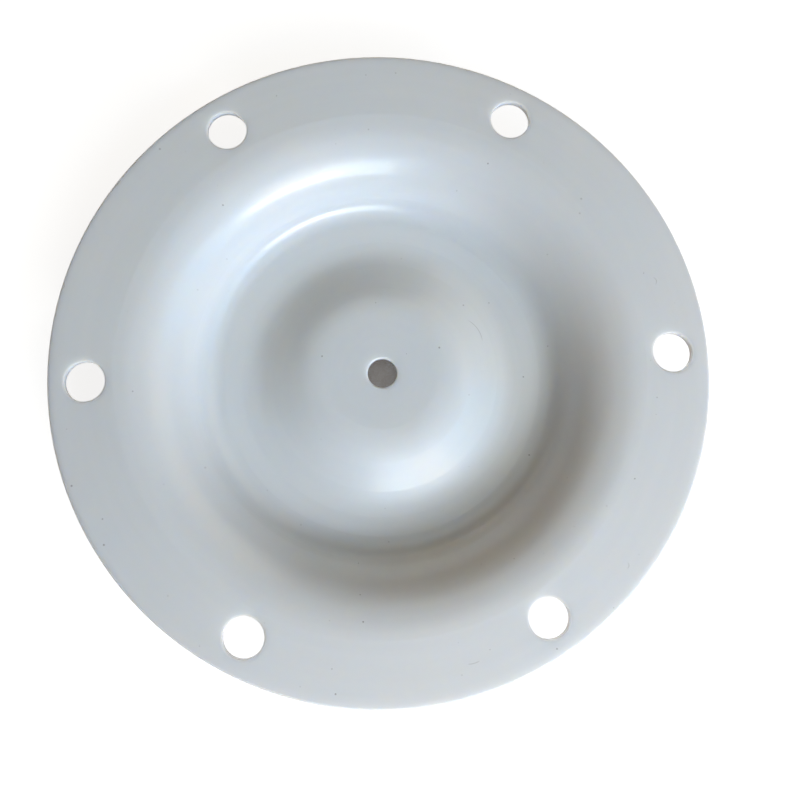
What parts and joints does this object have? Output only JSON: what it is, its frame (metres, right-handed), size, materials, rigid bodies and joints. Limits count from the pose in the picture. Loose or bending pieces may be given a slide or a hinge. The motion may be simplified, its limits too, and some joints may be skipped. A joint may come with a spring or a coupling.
{
  "type": "pump diaphragm",
  "caption": "Round one-piece pump diaphragm of translucent fluoropolymer sheet, with a bolted flat flange, one annular convolution and a flat centre land with a clamp hole.",
  "frame": {"origin": "on the diaphragm's axis, at the level of the flat bottom of the convolution, on which the part lies", "axes": "+Z along the axis, out of the hollow side; +X towards a bolt hole"},
  "size_m": [0.14, 0.14, 0.0149],
  "materials": {
    "diaphragm_sheet": "milky pale blue-grey translucent fluoropolymer, satin gloss"
  },
  "bodies": {
    "root": {"diaphragm": "diaphragm_sheet"}
  },
  "joints": []
}
